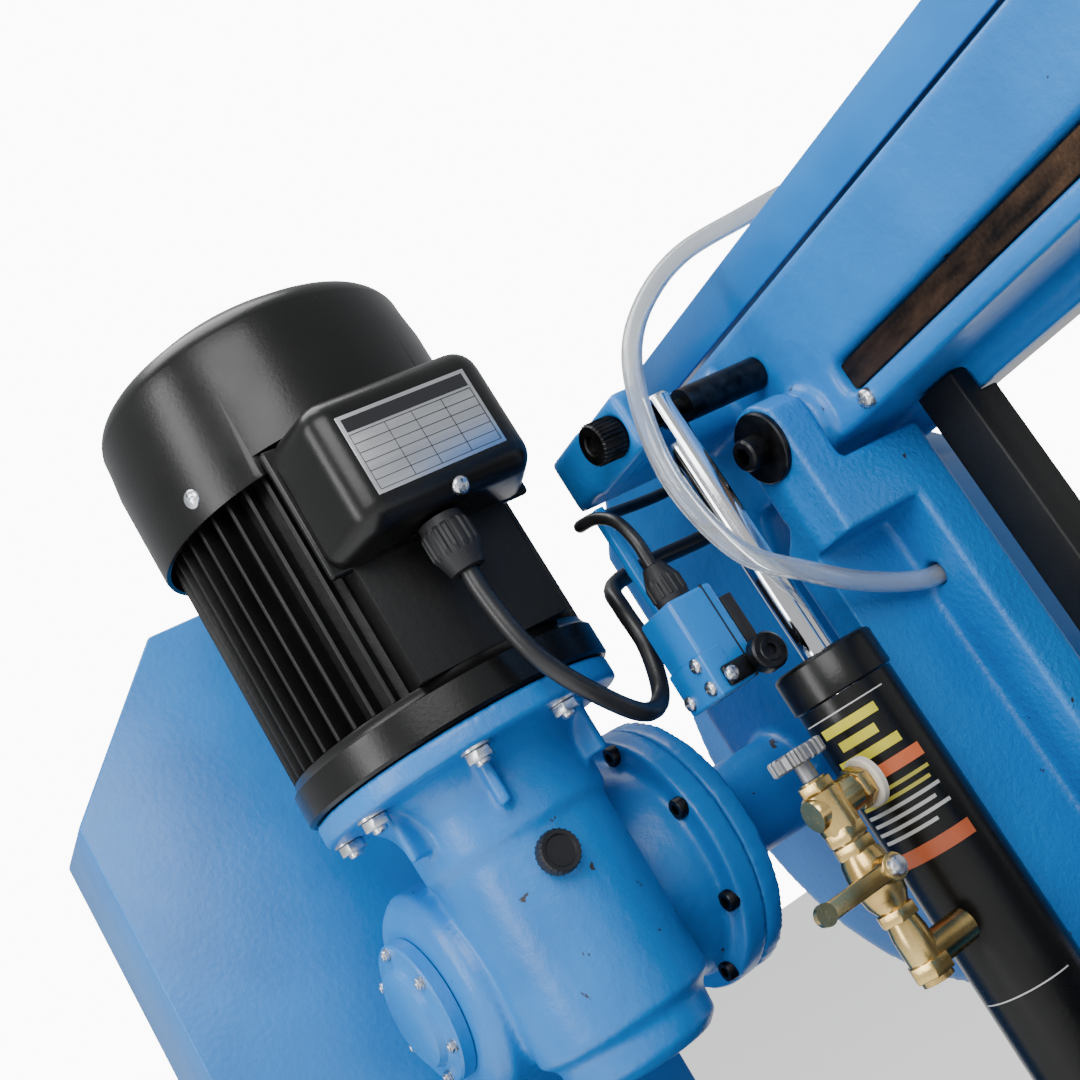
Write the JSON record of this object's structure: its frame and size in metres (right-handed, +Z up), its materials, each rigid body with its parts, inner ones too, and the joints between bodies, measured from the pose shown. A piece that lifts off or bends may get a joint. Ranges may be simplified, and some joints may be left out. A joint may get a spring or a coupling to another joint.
{
  "type": "horizontal band saw",
  "caption": "Gear-driven horizontal metal-cutting band saw with vertical motor, worm gearbox, hydraulic feed cylinder, pivoting bow, vise and sheet-metal stand.",
  "frame": {"origin": "centre of the footprint box, on the floor", "axes": "+X along the blade from the drive wheel to the idler wheel, +Y towards the vise handwheel side, +Z up"},
  "size_m": [1.156, 0.685, 1.096],
  "materials": {
    "blue_paint": "semi-gloss blue paint on castings and sheet metal",
    "black_paint": "satin black paint",
    "black_oxide": "black oxide on screws, pins and washers",
    "chrome": "hard chrome, polished",
    "steel": "machined steel",
    "rusty_steel": "dark mill steel with light rust",
    "cast_iron": "machined cast iron",
    "brass": "turned brass",
    "rubber": "black cable sheath",
    "clear_vinyl": "clear flexible PVC",
    "grey_paint": "pale grey powder coat",
    "green_plastic": "green push button",
    "red_plastic": "red push button"
  },
  "bodies": {
    "base": {"stand_rear": "blue_paint", "stand_front": "blue_paint", "stand_shelf": "blue_paint", "chip_tray": "black_paint", "base_casting": "blue_paint", "bed": "cast_iron", "fixed_jaw": "cast_iron", "vise_nut_block": "blue_paint", "control_box": "black_paint", "rear_cabinet": "blue_paint", "coolant_tank": "black_paint", "bracket": "blue_paint", "hinge_shaft": "steel", "hinge_washer": "black_oxide", "hinge_screw": "black_oxide", "cylinder_foot": "blue_paint", "coolant_hose": "clear_vinyl"},
    "bow": {"bow_casting": "blue_paint", "beam_bar": "rusty_steel", "clevis_pin": "black_oxide", "top_cover": "blue_paint", "blade_channel": "grey_paint", "guard_drive": "blue_paint", "guard_idler": "blue_paint", "blade": "steel", "guide_arm_fixed": "black_paint", "gearbox_housing": "blue_paint", "gearbox_cap": "blue_paint", "oil_plug": "black_oxide", "motor_shield": "black_paint", "motor_frame": "black_paint", "fan_cover": "black_paint", "terminal_box": "black_paint", "motor_gland": "black_paint", "switch_strap": "blue_paint", "switch_box": "blue_paint", "switch_gland": "black_paint", "coolant_tap": "brass", "motor_cable": "rubber", "switch_cable": "rubber"},
    "drive": {"drive_wheel": "cast_iron", "output_shaft": "steel"},
    "rotor": {"motor_rotor": "steel"},
    "idler_block": {"idler_axle": "steel"},
    "idler": {"idler_wheel": "cast_iron"},
    "tension_screw": {"tension_knob": "black_paint"},
    "guide_slider": {"guide_arm_sliding": "black_paint"},
    "cylinder": {"cylinder_barrel": "black_paint", "cylinder_cap": "black_paint", "needle_valve": "brass", "ball_valve": "brass"},
    "rod": {"piston_rod": "chrome"},
    "needle": {"needle_knob": "steel"},
    "lever": {"ball_lever": "brass"},
    "switch_arm": {"switch_lever": "black_oxide"},
    "jaw": {"vise_jaw": "cast_iron"},
    "handwheel": {"vise_screw": "steel"},
    "start": {"start_button": "green_plastic"},
    "stop": {"stop_button": "red_plastic"},
    "door": {"cabinet_door": "blue_paint"}
  },
  "joints": [
    {"name": "bow_hinge", "type": "hinge", "parent": "base", "child": "bow", "pos_m": [-0.148, 0.0295, 0.9], "axis": [0, -1, 0], "range_deg": [0, 24], "deforming": ["coolant_hose"]},
    {"name": "drive_spin", "type": "hinge", "parent": "bow", "child": "drive", "pos_m": [-0.333, 0.1065, 0.76], "axis": [0, 1, 0], "continuous": true},
    {"name": "idler_tension", "type": "slide", "parent": "bow", "child": "idler_block", "axis": [1, 0, 0], "range_m": [-0.004, 0]},
    {"name": "idler_spin", "type": "hinge", "parent": "idler_block", "child": "idler", "pos_m": [0.377, 0.1065, 0.76], "axis": [0, 1, 0], "continuous": true},
    {"name": "tension_turn", "type": "hinge", "parent": "bow", "child": "tension_screw", "pos_m": [0.492, 0.0625, 0.76], "axis": [1, 0, 0], "range_deg": [-720, 0]},
    {"name": "rotor_spin", "type": "hinge", "parent": "bow", "child": "rotor", "pos_m": [-0.276, -0.1635, 0.94], "axis": [0, 0, 1], "continuous": true},
    {"name": "guide_slide", "type": "slide", "parent": "bow", "child": "guide_slider", "axis": [1, 0, 0], "range_m": [-0.2, 0]},
    {"name": "cylinder_swing", "type": "hinge", "parent": "base", "child": "cylinder", "pos_m": [-0.158, -0.0395, 0.5], "axis": [0, -1, 0], "range_deg": [0, 1.94]},
    {"name": "rod_slide", "type": "slide", "parent": "cylinder", "child": "rod", "axis": [0, 0, 1], "range_m": [-0.0071, 0]},
    {"name": "needle_turn", "type": "hinge", "parent": "cylinder", "child": "needle", "pos_m": [-0.142, -0.0915, 0.77], "axis": [0, 0, 1], "range_deg": [-360, 360]},
    {"name": "ball_lever_turn", "type": "hinge", "parent": "cylinder", "child": "lever", "pos_m": [-0.126, -0.0915, 0.713], "axis": [1, 0, 0], "range_deg": [0, 90]},
    {"name": "switch_lever_turn", "type": "hinge", "parent": "bow", "child": "switch_arm", "pos_m": [-0.158, -0.0875, 0.816], "axis": [1, 0, 0], "range_deg": [0, 15], "stiffness_Nm_per_rad": 1, "springref_deg": -2.86},
    {"name": "vise_slide", "type": "slide", "parent": "base", "child": "jaw", "axis": [1, 0, 0], "range_m": [-0.12, 0.04]},
    {"name": "vise_turn", "type": "hinge", "parent": "jaw", "child": "handwheel", "pos_m": [0.152, 0.2275, 0.667], "axis": [1, 0, 0], "range_deg": [-8640, 2880]},
    {"name": "start_push", "type": "slide", "parent": "base", "child": "start", "axis": [0, 0, -1], "range_m": [0, 0.003], "stiffness_N_per_m": 400, "springref_m": -0.002},
    {"name": "stop_push", "type": "slide", "parent": "base", "child": "stop", "axis": [0, 0, -1], "range_m": [0, 0.003], "stiffness_N_per_m": 400, "springref_m": -0.002},
    {"name": "door_swing", "type": "hinge", "parent": "base", "child": "door", "pos_m": [-0.558, -0.0735, 0.745], "axis": [0, 0, -1], "range_deg": [0, 110]}
  ],
  "couplings": [
    {"joint": "idler_spin", "follows": "drive_spin", "ratio": 1},
    {"joint": "rotor_spin", "follows": "drive_spin", "ratio": -25},
    {"joint": "tension_turn", "follows": "idler_tension", "rad_per_m": 3141.6},
    {"joint": "cylinder_swing", "follows": "bow_hinge", "ratio": 0.08083},
    {"joint": "rod_slide", "follows": "bow_hinge", "m_per_rad": -0.01695},
    {"joint": "vise_turn", "follows": "vise_slide", "rad_per_m": 1256.6}
  ]
}
